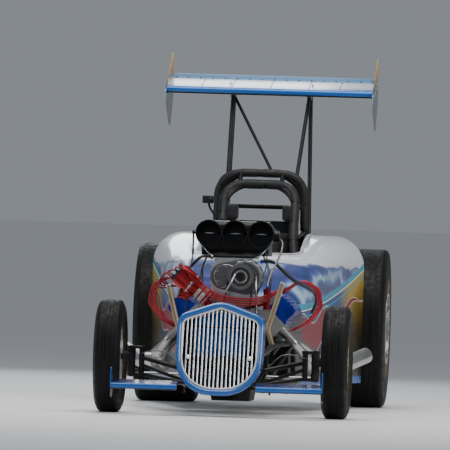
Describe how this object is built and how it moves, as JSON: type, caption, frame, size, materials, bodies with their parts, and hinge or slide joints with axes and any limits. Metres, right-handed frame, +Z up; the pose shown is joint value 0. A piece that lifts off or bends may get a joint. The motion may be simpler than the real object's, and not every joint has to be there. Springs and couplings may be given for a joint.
{
  "type": "supercharged altered drag roadster",
  "caption": "Front-engined supercharged drag roadster with open V8, raked barred grille, roll cage, wide body, rear slicks, low front wings and a high rear wing.",
  "frame": {"origin": "on the ground under the middle of the car's box", "axes": "+Z up, nose to -Y, +X is the car's left side"},
  "size_m": [1.4536, 4.9793, 2.022],
  "materials": {
    "frame_black": "semi gloss",
    "body_paint": "pearl gloss",
    "blue_paint": "gloss",
    "chrome_trim": "polished",
    "panel_alloy": "brushed",
    "cast_alloy": "cast",
    "polished_alloy": "polished",
    "hat_black": "satin",
    "engine_black": "satin",
    "cover_blue": "anodised",
    "ignition_red": "anodised",
    "wire_red": "silicone",
    "belt_rubber": "matt",
    "tan_tube": "satin",
    "header_steel": "satin",
    "steel": "machined",
    "front_tyre_rubber": "worn",
    "slick_rubber": "slick",
    "seat_shell": "satin",
    "seat_cloth": "woven",
    "pack_cloth": "woven nylon",
    "grip": "matt"
  },
  "bodies": {
    "chassis": {"chassis_frame": "frame_black", "roll_cage": "frame_black", "front_axle": "frame_black", "steering_shaft": "steel", "body_shell": "body_paint", "firewall": "panel_alloy", "belly_pan": "panel_alloy", "grille_shell": "blue_paint", "grille_bars": "chrome_trim", "front_wings": "blue_paint", "engine_block": "engine_black", "cylinder_heads": "cast_alloy", "valve_covers": "cover_blue", "intake_manifold": "cast_alloy", "blower_case": "polished_alloy", "blower_drive": "cast_alloy", "blower_belt": "belt_rubber", "injector_hat": "hat_black", "magneto": "ignition_red", "plug_wires": "wire_red", "fuel_filter": "ignition_red", "breather_tubes": "tan_tube", "headers": "header_steel", "fuel_tank": "polished_alloy", "transmission": "cast_alloy", "rear_axle_housing": "frame_black", "rear_wing": "blue_paint", "wing_struts": "frame_black", "seat": "seat_shell", "seat_pads": "seat_cloth", "parachute_pack": "pack_cloth", "wheelie_bar": "frame_black"},
    "steer_left": {"knuckle_left": "engine_black"},
    "steer_right": {"knuckle_right": "engine_black"},
    "wheel_left": {"front_rim_left": "polished_alloy", "front_tyre_left": "front_tyre_rubber"},
    "wheel_right": {"front_rim_right": "polished_alloy", "front_tyre_right": "front_tyre_rubber"},
    "rack_bar": {"tie_rod": "steel"},
    "hand_wheel": {"steering_wheel": "grip"},
    "rear_wheels": {"rear_axle_shaft": "steel", "rear_rims": "polished_alloy", "slick_left": "slick_rubber", "slick_right": "slick_rubber"},
    "wheelie_rollers": {"wheelie_wheels": "grip"}
  },
  "joints": [
    {"name": "steer_left", "type": "hinge", "parent": "chassis", "child": "steer_left", "pos_m": [0.5, -1.97, 0.305], "axis": [0, 0, 1], "range_deg": [-15, 15]},
    {"name": "steer_right", "type": "hinge", "parent": "chassis", "child": "steer_right", "pos_m": [-0.5, -1.97, 0.305], "axis": [0, 0, 1], "range_deg": [-15, 15]},
    {"name": "rack_slide", "type": "slide", "parent": "chassis", "child": "rack_bar", "axis": [1, 0, 0], "range_m": [-0.033, 0.033]},
    {"name": "hand_wheel_turn", "type": "hinge", "parent": "chassis", "child": "hand_wheel", "pos_m": [0, 0.13, 0.8], "axis": [0, -0.9397, -0.342], "range_deg": [-92, 92]},
    {"name": "spin_left", "type": "hinge", "parent": "steer_left", "child": "wheel_left", "pos_m": [0.6155, -1.97, 0.305], "axis": [1, 0, 0], "continuous": true},
    {"name": "spin_right", "type": "hinge", "parent": "steer_right", "child": "wheel_right", "pos_m": [-0.6155, -1.97, 0.305], "axis": [1, 0, 0], "continuous": true},
    {"name": "spin_rear", "type": "hinge", "parent": "chassis", "child": "rear_wheels", "pos_m": [0, 1.205, 0.457], "axis": [1, 0, 0], "continuous": true},
    {"name": "spin_wheelie", "type": "hinge", "parent": "chassis", "child": "wheelie_rollers", "pos_m": [0, 2.44, 0.084], "axis": [1, 0, 0], "continuous": true}
  ],
  "couplings": [
    {"joint": "steer_right", "follows": "steer_left", "ratio": 1},
    {"joint": "rack_slide", "follows": "steer_left", "m_per_rad": -0.12},
    {"joint": "hand_wheel_turn", "follows": "steer_left", "ratio": -6}
  ]
}
